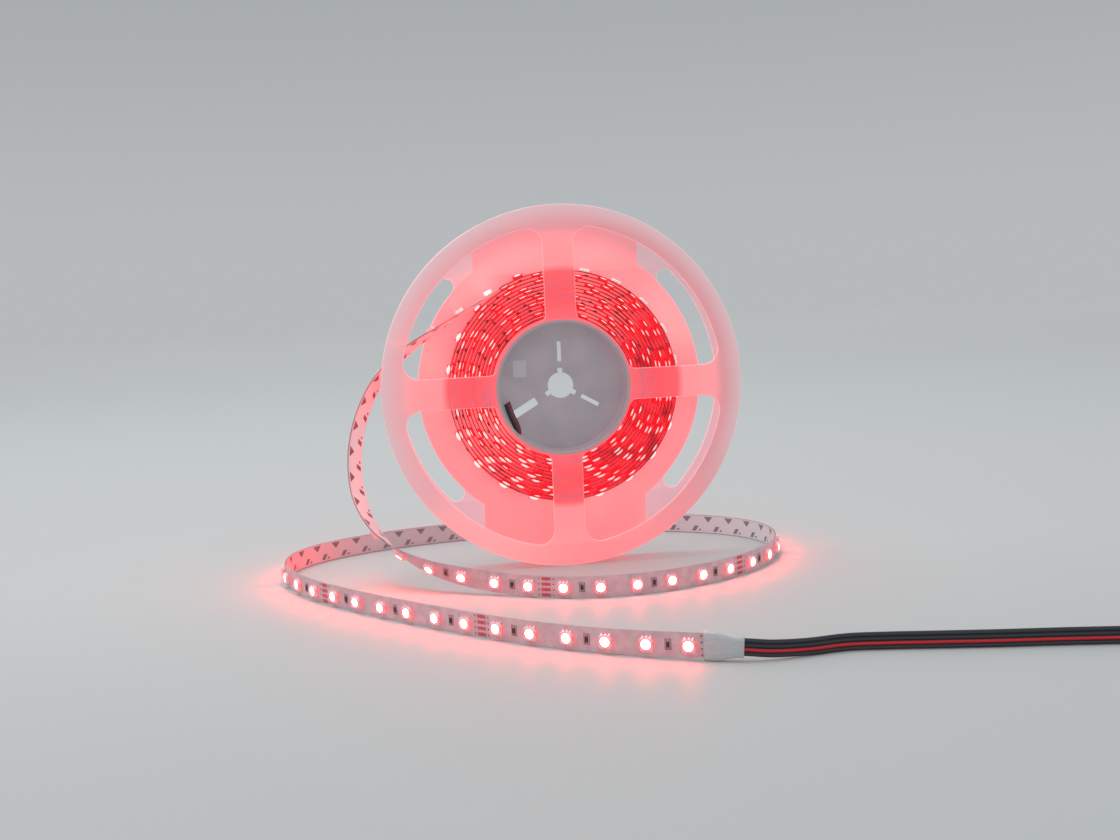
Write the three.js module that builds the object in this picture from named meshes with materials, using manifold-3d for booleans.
// A reel of LED strip light: two moulded reel halves, the roll of strip wound between them,
// and the free end of the strip, which runs down to the floor, once round the reel and out
// to its four-core lead.
//
// Millimetres, +Z up. The reel stands on its rims with its axis along Y and its open,
// spoked face towards -Y. The origin is on the floor, in the middle of the narrow flat
// that the front flange stands on.
import * as THREE from 'three';
import { mergeVertices } from 'three/addons/utils/BufferGeometryUtils.js';
import Module from 'manifold-3d';

const wasm = await Module();
wasm.setup();

// Clearance between pieces that touch on the real reel
const seatGap = 0.3;

// Reel: flanges
const flangeRadius = 90;
const flangeThickness = 1.5;
const flangeClearance = 1.2;
const rimWidth = 10;
const rimChamfer = 0.4;
const rimSides = 54;

// Reel: hub
const hubRadius = 33.4;
const hubWall = 1.3;
const hubLap = 2;

// Reel: windows of the front flange
const spokeCount = 4;
const spokeWidth = 15.5;
const windowLand = 1;
const windowCornerOuter = 7.5;
const windowCornerInner = 4;
const windowOuterSteps = 9;
const windowInnerSteps = 5;
const windowCornerSteps = 3;

// Reel: rear flange
const webThickness = 1.1;
const rimBand = 3.5;
const panelBandWidth = 83;
const panelDiscSteps = 12;
const panelRimSteps = 10;
const sideSlotWidth = 8.4;
const sideSlotHalfAngle = THREE.MathUtils.degToRad(43);
const sideSlotSteps = 9;
const sideSlotEndSteps = 6;

// Reel: hub floor
const arborRadius = 6.5;
const arborSides = 32;
const keywayAngles = [90, 210, 330];
const keywayWidth = 2.4;
const keywayDepth = 2.2;
const driveSlotAngles = [90, 330];
const driveSlotWidth = 2;
const driveSlotInner = 12;
const driveSlotOuter = 22;
const leadChannelAngle = 210;
const leadChannelWidth = 4;
const leadChannelInner = 14.5;
const leadChannelInset = 3.1;
const padWidth = 7;
const padHeight = 8.7;
const padRise = 0.3;
const padAngle = THREE.MathUtils.degToRad(155.4);
const padRadius = 22.4;

// Strip: a flexible board with a peel-off liner on its back
const stripWidth = 10;
const boardThickness = 0.3;
const linerThickness = 0.15;
const linerWidth = 9.4;
const floorGap = 0.05;
const stationStep = 8;
const curveDivisions = 2000;

// Strip: light packages, spaced evenly, and a resistor to every second space
const ledPitch = 100 / 6;
const ledSize = 5;
const ledHeight = 1.6;
const ledNotch = 0.9;
const ledLensRadius = 2.1;
const ledLensDepth = 0.25;
const ledSides = 6;
const ledNodeCount = 44;
const resistorLength = 3.2;
const resistorWidth = 1.6;
const resistorHeight = 0.6;
const boardLength = 500;

// Roll: the wound part of the strip
const rollClearance = 0.6;
const turnPitch = 1.72;
const rollTurns = 14;
const rollStartAngle = THREE.MathUtils.degToRad(228);
const rollEndAngle = THREE.MathUtils.degToRad(120);
const rollSides = 22;
const rollPly = 0.6;
const tangentLength = 15;
const headingStep = 0.01;

// Lead: a flat ribbon of four cores, standing on its edge
const coreDiameter = 1.72;
const coreCount = 4;
const coreCorner = 0.45;
const leadReach = 176;
const leadSteps = 16;

// Sleeve over the joint of strip and lead. It tapers from the strip's size to the lead's
// over the given share of the part that covers the lead.
const sleeveOverlap = 2.6;
const sleeveLength = 14;
const sleeveWall = 0.4;
const sleeveSlack = 0.9;
const sleeveSides = 10;
const sleeveTaper = 0.8;
const sleeveShares = [0.3, 0.55, 0.8, 1];

// Connector on the end of the lead
const connectorLength = 14;
const connectorWidth = 10.6;
const connectorThickness = 2.8;
const connectorGap = 0.7;
const contactPitch = 2.54;
const contactSize = 1.1;
const contactDepth = 5;

// Inner end of the strip: a cut lead that comes through the hub wall
const innerLeadSlotAngle = THREE.MathUtils.degToRad(225.5);
const innerLeadSlotWidth = 6;
const innerLeadSteps = 6;

// Route of the free strip, chosen by hand, in reel radii: the middle of the board, and the
// direction of its width there. It leaves the roll at a tangent, comes out between the
// flanges on the left and turns onto its edge.
const hangingStops = [
  { at: [-0.65, 0, 1.3622], width: [0.13, 0.97, -0.22] },
  { at: [-0.8489, 0, 1.2378], width: [0.28, 0.88, -0.38] },
  { at: [-1.0144, -0.0067, 1.0778], width: [0.45, 0.82, -0.36] },
  { at: [-1.1111, -0.0278, 0.8944], width: [0.61, 0.77, -0.19] },
  { at: [-1.16, -0.0667, 0.6889], width: [0.64, 0.77, -0.05] },
  { at: [-1.15, -0.1333, 0.4833], width: [0.6, 0.79, 0] },
  { at: [-1.0844, -0.2333, 0.3278], width: [0.45, 0.87, -0.2] },
  { at: [-0.9733, -0.3356, 0.2156], width: [0.3, 0.82, -0.49] },
  { at: [-0.8333, -0.4289, 0.1467], width: [0.2, 0.58, -0.79] },
  { at: [-0.6733, -0.5156, 0.1022], width: [0.1, 0.33, -0.94] },
  { at: [-0.5067, -0.5956, 0.0744], width: [0, 0.14, -0.99] },
];

// On its edge it goes once round the reel: the place on the floor in reel radii, and how far
// the lower edge is lifted there
const floorStops = [
  { at: [-0.3444, -0.6778], lift: 0.35 },
  { at: [-0.1756, -0.7589], lift: 0 },
  { at: [-0.0044, -0.8078], lift: 0 },
  { at: [0.1867, -0.8189], lift: 0 },
  { at: [0.3711, -0.7944], lift: 0 },
  { at: [0.56, -0.7322], lift: 0 },
  { at: [0.7422, -0.64], lift: 0 },
  { at: [0.8967, -0.5267], lift: 0 },
  { at: [1.0244, -0.3978], lift: 0 },
  { at: [1.1222, -0.24], lift: 0 },
  { at: [1.1756, -0.0556], lift: 0 },
  { at: [1.1667, 0.1333], lift: 0 },
  { at: [1.0889, 0.3111], lift: 0 },
  { at: [0.9556, 0.4556], lift: 0 },
  { at: [0.7556, 0.5833], lift: 0 },
  { at: [0.4, 0.7111], lift: 0 },
  { at: [-0.0222, 0.7778], lift: 0 },
  { at: [-0.4667, 0.7833], lift: 0 },
  { at: [-0.8556, 0.7167], lift: 0 },
  { at: [-1.1667, 0.6], lift: 0 },
  { at: [-1.4, 0.4444], lift: 0 },
  { at: [-1.5389, 0.2556], lift: 0 },
  { at: [-1.5778, 0.0556], lift: 0 },
  { at: [-1.5578, -0.1], lift: 0 },
  { at: [-1.4311, -0.3856], lift: 0 },
  { at: [-1.2144, -0.6878], lift: 0 },
  { at: [-0.96, -0.9756], lift: 0 },
  { at: [-0.6844, -1.2578], lift: 0 },
  { at: [-0.3878, -1.5267], lift: 0 },
  { at: [-0.07, -1.7511], lift: 0.15 },
  { at: [0.2489, -1.9233], lift: 0.65 },
  { at: [0.3333, -1.9622], lift: 0.8 },
];

// Route of the lead, chosen by hand: the way on from the strip's end, in shares of its reach,
// and how far its lower edge is lifted. It stands on its edge too.
const leadStops = [
  { away: [0.0051, -0.0022], lift: 2.36 },
  { away: [0.0341, -0.0131], lift: 2.21 },
  { away: [0.0705, -0.0227], lift: 2.01 },
  { away: [0.125, -0.0284], lift: 1.01 },
  { away: [0.2045, -0.0216], lift: 0.16 },
  { away: [0.2989, -0.0108], lift: 0.11 },
  { away: [0.3864, -0.0233], lift: 0.11 },
  { away: [0.4773, -0.042], lift: 0.11 },
  { away: [0.6136, -0.0693], lift: 0.11 },
  { away: [0.7614, -0.0955], lift: 0.11 },
  { away: [0.875, -0.1182], lift: 0.11 },
  { away: [0.9545, -0.1352], lift: 0.21 },
  { away: [1, -0.1455], lift: 1.71 },
];

// Route of the inner lead about the reel's axis: the height over the hub's bore in core
// diameters, and the angle in degrees
const innerLeadStops = [
  [0.378, 225.5],
  [-0.64, 221],
  [-1.279, 215],
  [-1.628, 208],
  [-1.802, 201],
  [-1.86, 194],
];

// Sizes that follow from the ones above
const reelCentre = flangeRadius * Math.cos(Math.PI / rimSides);
const innerFace = stripWidth / 2 + flangeClearance;
const outerFace = innerFace + flangeThickness;
const webFace = innerFace + webThickness;
const hubBore = hubRadius - hubWall;
const hubMiddle = hubRadius - hubWall / 2;
const windowInner = hubRadius + windowLand;
const windowOuter = flangeRadius - rimWidth;
const panelDiscRadius = windowOuter - sideSlotWidth;
const rollStartRadius = hubRadius + rollClearance + rollPly / 2;
const ribbonWidth = coreCount * coreDiameter;
const ledSeat = boardThickness / 2 + seatGap;

// How far a cutting shape runs past what it cuts, and how deep a piece sinks into the strip
// that it is fused to
const overcut = 1;
const fuseDepth = 0.25;

const plasticMaterial = new THREE.MeshStandardMaterial({
  color: 0xf1c9c8, roughness: 0.45, metalness: 0, transparent: true, opacity: 0.75,
});
const rollMaterial = new THREE.MeshStandardMaterial({ color: 0xe0202c, roughness: 0.55, metalness: 0 });
const boardMaterial = new THREE.MeshStandardMaterial({ color: 0xc9c2c6, roughness: 0.5, metalness: 0 });
const linerMaterial = new THREE.MeshStandardMaterial({ color: 0xd9d6d8, roughness: 0.6, metalness: 0 });
const ledMaterial = new THREE.MeshStandardMaterial({
  color: 0xfff0ee, roughness: 0.3, metalness: 0, emissive: 0xff3030, emissiveIntensity: 0.8,
});
const sleeveMaterial = new THREE.MeshStandardMaterial({ color: 0xdcdde0, roughness: 0.4, metalness: 0 });
const leadMaterial = new THREE.MeshStandardMaterial({ color: 0x24262a, roughness: 0.5, metalness: 0 });
const connectorMaterial = new THREE.MeshStandardMaterial({ color: 0x1b1c1f, roughness: 0.4, metalness: 0 });

// Closed geometry to solid, and back
function toSolid(geometry) {
  const bare = geometry.clone();
  bare.deleteAttribute('normal');
  bare.deleteAttribute('uv');
  const merged = mergeVertices(bare);
  const mesh = new wasm.Mesh({
    numProp: 3,
    vertProperties: new Float32Array(merged.attributes.position.array),
    triVerts: new Uint32Array(merged.index.array),
  });
  mesh.merge();
  return new wasm.Manifold(mesh);
}

function toGeometry(solid) {
  const { vertProperties, triVerts, numProp } = solid.getMesh();
  const positions = [];
  for (let i = 0; i < vertProperties.length; i += numProp) {
    positions.push(vertProperties[i], vertProperties[i + 1], vertProperties[i + 2]);
  }
  const geometry = new THREE.BufferGeometry();
  geometry.setAttribute('position', new THREE.Float32BufferAttribute(positions, 3));
  geometry.setIndex([...triVerts]);
  geometry.computeVertexNormals();
  return geometry;
}

// Points of an arc in the plane, from one angle to another
function arc(cx, cy, radius, from, to, steps) {
  const points = [];
  for (let i = 0; i <= steps; i++) {
    const angle = from + ((to - from) * i) / steps;
    points.push(new THREE.Vector2(cx + radius * Math.cos(angle), cy + radius * Math.sin(angle)));
  }
  return points;
}

// An outline drawn in the reel's face (x to the right, y up) and extruded along the reel's
// axis between two depths. The reel's centre is the outline's origin.
function reelPlate(outline, fromDepth, toDepth) {
  const geometry = new THREE.ExtrudeGeometry(new THREE.Shape(outline), {
    depth: toDepth - fromDepth, bevelEnabled: false,
  });
  geometry.rotateX(Math.PI / 2);
  geometry.translate(0, toDepth, 0);
  return geometry;
}

// A profile of radius and depth pairs, turned about the reel's axis. A facet of the rim
// lies flat on the floor.
function reelTurned(profile, sides) {
  const points = [...profile, profile[0]].map(([radius, depth]) => new THREE.Vector2(radius, depth));
  return new THREE.LatheGeometry(points, sides, Math.PI / rimSides);
}

// A slot with square ends along a radius, from one radius to another
function radialSlot(inner, outer, width, angle) {
  const across = new THREE.Vector2(-Math.sin(angle), Math.cos(angle)).multiplyScalar(width / 2);
  const along = new THREE.Vector2(Math.cos(angle), Math.sin(angle));
  const near = along.clone().multiplyScalar(inner);
  const far = along.clone().multiplyScalar(outer);
  return [
    near.clone().sub(across),
    far.clone().sub(across),
    far.clone().add(across),
    near.clone().add(across),
  ];
}

// One window of the front flange: a quarter of a ring between two spokes, with round corners
function windowOutline(turn) {
  const edge = spokeWidth / 2;
  const outerCentre = Math.sqrt((windowOuter - windowCornerOuter) ** 2 - (edge + windowCornerOuter) ** 2);
  const innerCentre = Math.sqrt((windowInner + windowCornerInner) ** 2 - (edge + windowCornerInner) ** 2);
  const outerAngle = Math.atan2(edge + windowCornerOuter, outerCentre);
  const innerAngle = Math.atan2(edge + windowCornerInner, innerCentre);
  const quarter = Math.PI / 2;
  const lowerOuter = [outerCentre, edge + windowCornerOuter, windowCornerOuter];
  const upperOuter = [edge + windowCornerOuter, outerCentre, windowCornerOuter];
  const upperInner = [edge + windowCornerInner, innerCentre, windowCornerInner];
  const lowerInner = [innerCentre, edge + windowCornerInner, windowCornerInner];
  const points = [
    ...arc(...lowerOuter, -quarter, outerAngle, windowCornerSteps),
    ...arc(0, 0, windowOuter, outerAngle, quarter - outerAngle, windowOuterSteps).slice(1, -1),
    ...arc(...upperOuter, quarter - outerAngle, 2 * quarter, windowCornerSteps),
    ...arc(...upperInner, 2 * quarter, 3 * quarter - innerAngle, windowCornerSteps),
    ...arc(0, 0, windowInner, quarter - innerAngle, innerAngle, windowInnerSteps).slice(1, -1),
    ...arc(...lowerInner, 2 * quarter + innerAngle, 3 * quarter, windowCornerSteps),
  ];
  return points.map((point) => point.rotateAround(new THREE.Vector2(), turn));
}

// The hole in the hub wall for the inner lead
function innerLeadSlot() {
  const outline = radialSlot(hubBore - overcut, hubRadius + overcut, innerLeadSlotWidth, innerLeadSlotAngle);
  const half = ribbonWidth / 2 + 2 * seatGap;
  return toSolid(reelPlate(outline, -half, half));
}

function frontHalfGeometry() {
  const lapEnd = hubLap / 2 - seatGap / 2;
  const lapRoot = hubLap / 2 + seatGap / 2;
  const profile = [
    [hubBore, -outerFace],
    [flangeRadius - rimChamfer, -outerFace],
    [flangeRadius, -outerFace + rimChamfer],
    [flangeRadius, -innerFace],
    [hubRadius, -innerFace],
    [hubRadius, lapEnd],
    [hubMiddle + seatGap / 2, lapEnd],
    [hubMiddle + seatGap / 2, -lapRoot],
    [hubBore, -lapRoot],
  ];
  let half = toSolid(reelTurned(profile, rimSides));
  for (let i = 0; i < spokeCount; i++) {
    const outline = windowOutline((i * 2 * Math.PI) / spokeCount);
    half = half.subtract(toSolid(reelPlate(outline, -outerFace - overcut, -innerFace + overcut)));
  }
  half = half.subtract(innerLeadSlot());
  return toGeometry(half);
}

// The raised field of the rear flange: a disc, crossed by an upright band that reaches the rim
function panelOutline() {
  const reach = flangeRadius - rimBand;
  const half = panelBandWidth / 2;
  const rimAngle = Math.acos(half / reach);
  const discAngle = Math.acos(half / panelDiscRadius);
  const turn = Math.PI;
  return [
    ...arc(0, 0, panelDiscRadius, -discAngle, discAngle, panelDiscSteps),
    ...arc(0, 0, reach, rimAngle, turn - rimAngle, panelRimSteps),
    ...arc(0, 0, panelDiscRadius, turn - discAngle, turn + discAngle, panelDiscSteps),
    ...arc(0, 0, reach, turn + rimAngle, 2 * turn - rimAngle, panelRimSteps),
  ];
}

// A curved slot beside the raised disc, with round ends
function sideSlotOutline(middle) {
  const radius = sideSlotWidth / 2;
  const track = panelDiscRadius + radius;
  const from = middle - sideSlotHalfAngle;
  const to = middle + sideSlotHalfAngle;
  const start = [track * Math.cos(from), track * Math.sin(from)];
  const end = [track * Math.cos(to), track * Math.sin(to)];
  return [
    ...arc(0, 0, track + radius, from, to, sideSlotSteps),
    ...arc(...end, radius, to, to + Math.PI, sideSlotEndSteps).slice(1, -1),
    ...arc(0, 0, track - radius, to, from, sideSlotSteps),
    ...arc(...start, radius, from + Math.PI, from + 2 * Math.PI, sideSlotEndSteps).slice(1, -1),
  ];
}

function rearHalfGeometry() {
  const lapEnd = hubLap / 2 - seatGap / 2;
  const lapRoot = hubLap / 2 + seatGap / 2;
  const blankBore = arborRadius - overcut;
  const profile = [
    [blankBore, innerFace],
    [hubBore, innerFace],
    [hubBore, -lapEnd],
    [hubMiddle - seatGap / 2, -lapEnd],
    [hubMiddle - seatGap / 2, lapRoot],
    [hubRadius, lapRoot],
    [hubRadius, innerFace],
    [flangeRadius, innerFace],
    [flangeRadius, outerFace - rimChamfer],
    [flangeRadius - rimChamfer, outerFace],
    [flangeRadius - rimBand, outerFace],
    [flangeRadius - rimBand, webFace],
    [blankBore, webFace],
  ];
  const through = [innerFace - padRise - overcut, outerFace + overcut];
  let half = toSolid(reelTurned(profile, rimSides));
  half = half.add(toSolid(reelPlate(panelOutline(), innerFace + webThickness / 2, outerFace)));
  half = half.add(toSolid(moldedPad()));
  const slot = (inner, outer, width, degrees) => (
    radialSlot(inner, outer, width, THREE.MathUtils.degToRad(degrees))
  );
  const cuts = [
    arc(0, 0, arborRadius, 0, 2 * Math.PI, arborSides).slice(1),
    slot(leadChannelInner, hubBore - leadChannelInset, leadChannelWidth, leadChannelAngle),
    sideSlotOutline(0),
    sideSlotOutline(Math.PI),
    ...driveSlotAngles.map((degrees) => slot(driveSlotInner, driveSlotOuter, driveSlotWidth, degrees)),
    ...keywayAngles.map((degrees) => slot(arborRadius / 2, arborRadius + keywayDepth, keywayWidth, degrees)),
  ];
  for (const outline of cuts) {
    half = half.subtract(toSolid(reelPlate(outline, ...through)));
  }
  half = half.subtract(innerLeadSlot());
  return toGeometry(half);
}

// A plain raised pad on the hub floor
function moldedPad() {
  const pad = new THREE.BoxGeometry(padWidth, padRise + webThickness / 2, padHeight);
  pad.translate(
    padRadius * Math.cos(padAngle),
    innerFace - padRise + (padRise + webThickness / 2) / 2,
    padRadius * Math.sin(padAngle),
  );
  return pad;
}

// The roll's end, where the free strip leaves it at a tangent
const rollSweep = rollEndAngle + rollTurns * 2 * Math.PI - rollStartAngle;
function rollPoint(angle, lift = 0) {
  const radius = rollStartRadius + (turnPitch * angle) / (2 * Math.PI) + lift;
  const at = rollStartAngle + angle;
  return new THREE.Vector3(radius * Math.cos(at), 0, reelCentre + radius * Math.sin(at));
}

const rollEnd = rollPoint(rollSweep);
const rollHeading = rollEnd.clone().sub(rollPoint(rollSweep - headingStep)).normalize();
const acrossReel = new THREE.Vector3(0, 1, 0);
const floorHeight = stripWidth / 2 + floorGap;
const routePoints = [
  rollEnd.clone().addScaledVector(rollHeading, seatGap),
  rollEnd.clone().addScaledVector(rollHeading, tangentLength),
  ...hangingStops.map(({ at }) => new THREE.Vector3(...at).multiplyScalar(flangeRadius)),
  ...floorStops.map(({ at: [x, y], lift }) => (
    new THREE.Vector3(x * flangeRadius, y * flangeRadius, floorHeight + lift)
  )),
];
const down = new THREE.Vector3(0, 0, -1);
const routeWidths = [
  acrossReel,
  acrossReel,
  ...hangingStops.map(({ width }) => new THREE.Vector3(...width)),
  ...floorStops.map(() => down),
];
const stripCurve = new THREE.CatmullRomCurve3(routePoints, false, 'centripetal');
stripCurve.arcLengthDivisions = curveDivisions;
const stripLength = stripCurve.getLength();

// Place on the free strip at a distance along it: its middle, its heading, the direction of
// its width and the way that its lights face
function stripFrame(distance) {
  const t = stripCurve.getUtoTmapping(0, Math.min(distance, stripLength));
  const place = t * (routePoints.length - 1);
  const index = Math.min(Math.floor(place), routePoints.length - 2);
  const heading = stripCurve.getTangent(t);
  const width = routeWidths[index].clone().lerp(routeWidths[index + 1], place - index);
  width.addScaledVector(heading, -width.dot(heading)).normalize();
  const facing = new THREE.Vector3().crossVectors(width, heading);
  return { middle: stripCurve.getPoint(t), heading, width, facing };
}

// A closed skin over a row of sections that have equally many corners. Each section's
// corners run anticlockwise as seen looking back along the row, and each face is split
// along its shorter diagonal.
function loft(sections) {
  const sides = sections[0].length;
  const corners = sections.flat();
  const positions = corners.flatMap((corner) => corner.toArray());
  const index = [];
  for (let i = 0; i + 1 < sections.length; i++) {
    for (let j = 0; j < sides; j++) {
      const a = i * sides + j;
      const b = i * sides + ((j + 1) % sides);
      const rising = corners[a].distanceTo(corners[b + sides]);
      const falling = corners[b].distanceTo(corners[a + sides]);
      if (rising <= falling) {
        index.push(a, b, b + sides, a, b + sides, a + sides);
      } else {
        index.push(a, b, a + sides, b, b + sides, a + sides);
      }
    }
  }
  const last = (sections.length - 1) * sides;
  for (let j = 1; j + 1 < sides; j++) {
    index.push(0, j + 1, j);
    index.push(last, last + j, last + j + 1);
  }
  const geometry = new THREE.BufferGeometry();
  geometry.setAttribute('position', new THREE.Float32BufferAttribute(positions, 3));
  geometry.setIndex(index);
  geometry.computeVertexNormals();
  return geometry;
}

// A band of the given width and thickness that lies a given height above the board's middle
function stripBand(from, to, width, thickness, height) {
  const steps = Math.ceil((to - from) / stationStep);
  const sections = [];
  for (let i = 0; i <= steps; i++) {
    const { middle, width: across, facing } = stripFrame(from + ((to - from) * i) / steps);
    const corner = (side, level) => middle.clone()
      .addScaledVector(across, (side * width) / 2)
      .addScaledVector(facing, height + (level * thickness) / 2);
    sections.push([corner(-1, -1), corner(-1, 1), corner(1, 1), corner(1, -1)]);
  }
  return loft(sections);
}

// Turns a piece modelled on the board, with its base at z = 0, onto a place on the strip
function seatOnStrip(object, distance, height) {
  const { middle, heading, width, facing } = stripFrame(distance);
  const basis = new THREE.Matrix4().makeBasis(heading, width.clone().negate(), facing);
  object.quaternion.setFromRotationMatrix(basis);
  object.position.copy(middle).addScaledVector(facing, height);
  return object;
}

// A light package: a square body with one corner cut, and a shallow round lens well
function ledGeometry() {
  const half = ledSize / 2;
  const outline = [
    new THREE.Vector2(-half, -half),
    new THREE.Vector2(half, -half),
    new THREE.Vector2(half, half - ledNotch),
    new THREE.Vector2(half - ledNotch, half),
    new THREE.Vector2(-half, half),
  ];
  const body = new THREE.ExtrudeGeometry(new THREE.Shape(outline), { depth: ledHeight, bevelEnabled: false });
  const lens = new THREE.CylinderGeometry(ledLensRadius, ledLensRadius, 2 * ledLensDepth, ledSides);
  lens.rotateX(Math.PI / 2);
  lens.translate(0, 0, ledHeight);
  return toGeometry(toSolid(body).subtract(toSolid(lens)));
}

// A plain block with its base at z = 0, for pieces that are fused to the strip
function block(length, width, height) {
  const geometry = new THREE.BoxGeometry(length, width, height);
  geometry.translate(0, 0, height / 2);
  return geometry;
}

// Distances along the free strip, counted from its lead end
const ledCount = Math.floor((stripLength - ledSize / 2) / ledPitch + 0.5);
const ledDistance = (index) => stripLength - (index + 0.5) * ledPitch;
const resistorCount = Math.floor(stripLength / (2 * ledPitch));
const resistorDistance = (index) => stripLength - (2 * index + 1) * ledPitch;

// A board with the resistors, and the light packages that have no node of their own, fused
// to it
function boardGeometry(from, to) {
  let board = toSolid(stripBand(from, to, stripWidth, boardThickness, 0));
  const add = (geometry, distance) => {
    const placed = seatOnStrip(new THREE.Mesh(geometry), distance, boardThickness / 2 - fuseDepth);
    placed.updateMatrix();
    board = board.add(toSolid(geometry.applyMatrix4(placed.matrix)));
  };
  for (let i = 0; i < resistorCount; i++) {
    const distance = resistorDistance(i);
    if (distance > from + resistorLength && distance < to - resistorLength) {
      add(block(resistorWidth, resistorLength, resistorHeight + fuseDepth), distance);
    }
  }
  for (let i = ledNodeCount; i < ledCount; i++) {
    const distance = ledDistance(i);
    if (distance > from && distance < to) {
      add(block(ledSize, ledSize, ledHeight + seatGap + fuseDepth), distance);
    }
  }
  return toGeometry(board);
}

// The wound strip: one ribbon, turned on itself, with the light packages of its last turn
function rollGeometry() {
  const steps = Math.round((rollSweep / (2 * Math.PI)) * rollSides);
  const sections = [];
  for (let i = 0; i <= steps; i++) {
    const angle = (rollSweep * i) / steps;
    const corner = (side, level) => rollPoint(angle, (level * rollPly) / 2)
      .addScaledVector(acrossReel, (side * stripWidth) / 2);
    sections.push([corner(1, -1), corner(-1, -1), corner(-1, 1), corner(1, 1)]);
  }
  let roll = toSolid(loft(sections));
  const endRadius = rollStartRadius + (turnPitch * rollSweep) / (2 * Math.PI);
  const pitchAngle = ledPitch / endRadius;
  const firstAngle = rollSweep - (ledPitch - ledDistance(ledCount - 1)) / endRadius;
  const onLastTurn = Math.floor((2 * Math.PI) / pitchAngle);
  const facetDrop = endRadius * (1 - Math.cos(Math.PI / rollSides));
  const sink = facetDrop + fuseDepth;
  for (let i = 0; i < onLastTurn; i++) {
    const angle = firstAngle - i * pitchAngle;
    const led = block(ledSize, ledSize, sink + ledHeight);
    const basis = new THREE.Matrix4();
    const up = rollPoint(angle, 1).sub(rollPoint(angle)).normalize();
    basis.makeBasis(acrossReel.clone().cross(up), acrossReel, up);
    basis.setPosition(rollPoint(angle, rollPly / 2 - sink));
    roll = roll.add(toSolid(led.applyMatrix4(basis)));
  }
  return toGeometry(roll);
}

// The sleeve over the joint of strip and lead: a shrunk tube, wide at the strip and narrow
// at the lead, open at both ends
const stripEnd = routePoints[routePoints.length - 1];
const leadHeight = ribbonWidth / 2 + floorGap;
const leadCurve = new THREE.CatmullRomCurve3(leadStops.map(({ away: [x, y], lift }) => (
  new THREE.Vector3(x * leadReach + stripEnd.x, y * leadReach + stripEnd.y, leadHeight + lift)
)), false, 'centripetal');
function sleeveSection(middle, heading, width, thickness, grow) {
  const up = new THREE.Vector3(0, 0, 1).addScaledVector(heading, -heading.z).normalize();
  const side = new THREE.Vector3().crossVectors(heading, up);
  const corners = [];
  for (let i = 0; i < sleeveSides; i++) {
    const angle = (2 * Math.PI * (i + 0.5)) / sleeveSides;
    const c = Math.cos(angle);
    const s = Math.sin(angle);
    const across = Math.sign(c) * Math.sqrt(Math.abs(c)) * (width / 2 + grow);
    const out = Math.sign(s) * Math.sqrt(Math.abs(s)) * (thickness / 2 + grow);
    corners.push(middle.clone().addScaledVector(up, across).addScaledVector(side, out));
  }
  return corners;
}

function sleeveGeometry() {
  const boardEnd = stripFrame(stripLength);
  const start = stripFrame(stripLength - sleeveOverlap);
  const clear = 2 * seatGap;
  const strip = [stripWidth + clear, boardThickness + linerThickness + 2 * sleeveSlack];
  const lead = [ribbonWidth + clear, coreDiameter + sleeveSlack];
  const stops = [
    { middle: start.middle, heading: start.heading, size: strip },
    { middle: boardEnd.middle, heading: boardEnd.heading, size: strip },
  ];
  for (const share of sleeveShares) {
    const t = leadCurve.getUtoTmapping(0, share * (sleeveLength - sleeveOverlap));
    const blend = Math.min(1, share / sleeveTaper);
    const size = strip.map((value, i) => value + (lead[i] - value) * blend);
    stops.push({ middle: leadCurve.getPoint(t), heading: leadCurve.getTangent(t), size });
  }
  const skin = (grow) => stops.map(({ middle, heading, size }) => (
    sleeveSection(middle, heading, ...size, grow)
  ));
  const inner = skin(0);
  const first = stops[0];
  const last = stops[stops.length - 1];
  const longer = [
    inner[0].map((corner) => corner.clone().addScaledVector(first.heading, -overcut)),
    ...inner,
    inner[inner.length - 1].map((corner) => corner.clone().addScaledVector(last.heading, overcut)),
  ];
  return toGeometry(toSolid(loft(skin(sleeveWall))).subtract(toSolid(loft(longer))));
}

// The flat four-core ribbon along a curve: an eight-sided section, on its edge
function ribbonGeometry(curve, steps) {
  const half = ribbonWidth / 2;
  const side = coreDiameter / 2;
  const corner = side * coreCorner;
  const outline = [
    [half, -side + corner], [half, side - corner], [half - corner, side], [-half + corner, side],
    [-half, side - corner], [-half, -side + corner], [-half + corner, -side], [half - corner, -side],
  ].map((point) => new THREE.Vector2(...point));
  return new THREE.ExtrudeGeometry(new THREE.Shape(outline), { steps, extrudePath: curve });
}

const innerLeadCurve = new THREE.CatmullRomCurve3(innerLeadStops.map(([height, degrees]) => {
  const radius = hubBore + height * coreDiameter;
  const angle = THREE.MathUtils.degToRad(degrees);
  return new THREE.Vector3(radius * Math.cos(angle), 0, reelCentre + radius * Math.sin(angle));
}), false, 'centripetal');

// The connector: a flat housing with a row of square contact wells in its far end
function connectorMesh() {
  let housing = toSolid(new THREE.BoxGeometry(connectorLength, connectorThickness, connectorWidth));
  for (let i = 0; i < coreCount; i++) {
    const well = new THREE.BoxGeometry(2 * contactDepth, contactSize, contactSize);
    well.translate(connectorLength / 2, 0, (i - (coreCount - 1) / 2) * contactPitch);
    housing = housing.subtract(toSolid(well));
  }
  const mesh = new THREE.Mesh(toGeometry(housing), connectorMaterial);
  const end = leadCurve.getPoint(1);
  const heading = leadCurve.getTangent(1).setZ(0).normalize();
  mesh.position.copy(end).addScaledVector(heading, connectorLength / 2 + connectorGap);
  mesh.position.z = connectorWidth / 2;
  mesh.rotation.z = Math.atan2(heading.y, heading.x);
  return mesh;
}

function named(name, mesh) {
  mesh.name = name;
  return mesh;
}

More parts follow.
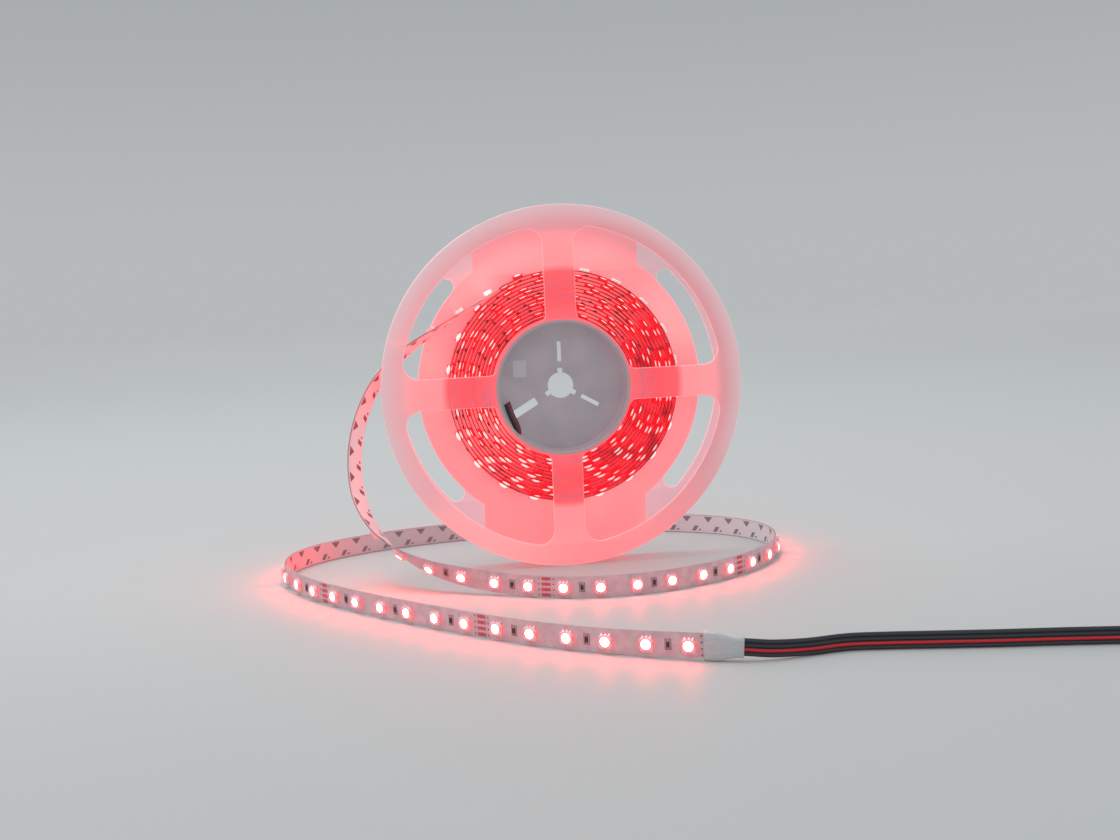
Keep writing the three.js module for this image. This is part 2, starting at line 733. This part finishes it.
const reel = new THREE.Group();
const frontHalf = named('reel_front_half', new THREE.Mesh(frontHalfGeometry(), plasticMaterial));
const rearHalf = named('reel_rear_half', new THREE.Mesh(rearHalfGeometry(), plasticMaterial));
frontHalf.position.z = reelCentre;
rearHalf.position.z = reelCentre;
reel.add(frontHalf, rearHalf);

const strip = new THREE.Group();
const boardJoint = stripLength - boardLength;
const halfJoint = seatGap / 2;
const linerHeight = -(boardThickness / 2 + seatGap + linerThickness / 2);
const linerEnd = stripLength - seatGap;
strip.add(named('strip_roll', new THREE.Mesh(rollGeometry(), rollMaterial)));
strip.add(named('strip_board_upper', new THREE.Mesh(
  boardGeometry(0, boardJoint - halfJoint), boardMaterial,
)));
strip.add(named('strip_board_lower', new THREE.Mesh(
  boardGeometry(boardJoint + halfJoint, stripLength), boardMaterial,
)));
strip.add(named('release_liner_upper', new THREE.Mesh(
  stripBand(0, boardJoint - halfJoint, linerWidth, linerThickness, linerHeight), linerMaterial,
)));
strip.add(named('release_liner_lower', new THREE.Mesh(
  stripBand(boardJoint + halfJoint, linerEnd, linerWidth, linerThickness, linerHeight), linerMaterial,
)));
const ledShape = ledGeometry();
for (let i = 0; i < ledNodeCount; i++) {
  const led = seatOnStrip(new THREE.Mesh(ledShape, ledMaterial), ledDistance(i), ledSeat);
  strip.add(named(`led_${String(i + 1).padStart(2, '0')}`, led));
}

const lead = new THREE.Group();
lead.add(named('heat_shrink_sleeve', new THREE.Mesh(sleeveGeometry(), sleeveMaterial)));
lead.add(named('lead_ribbon', new THREE.Mesh(ribbonGeometry(leadCurve, leadSteps), leadMaterial)));
lead.add(named('lead_connector', connectorMesh()));
lead.add(named('inner_lead', new THREE.Mesh(ribbonGeometry(innerLeadCurve, innerLeadSteps), leadMaterial)));

// The pieces above are placed from the middle of the reel, so the whole is moved back to
// bring the flat of the front rim onto the origin
const group = new THREE.Group();
group.add(reel, strip, lead);
group.position.y = innerFace + (flangeThickness - rimChamfer) / 2;

export default group;
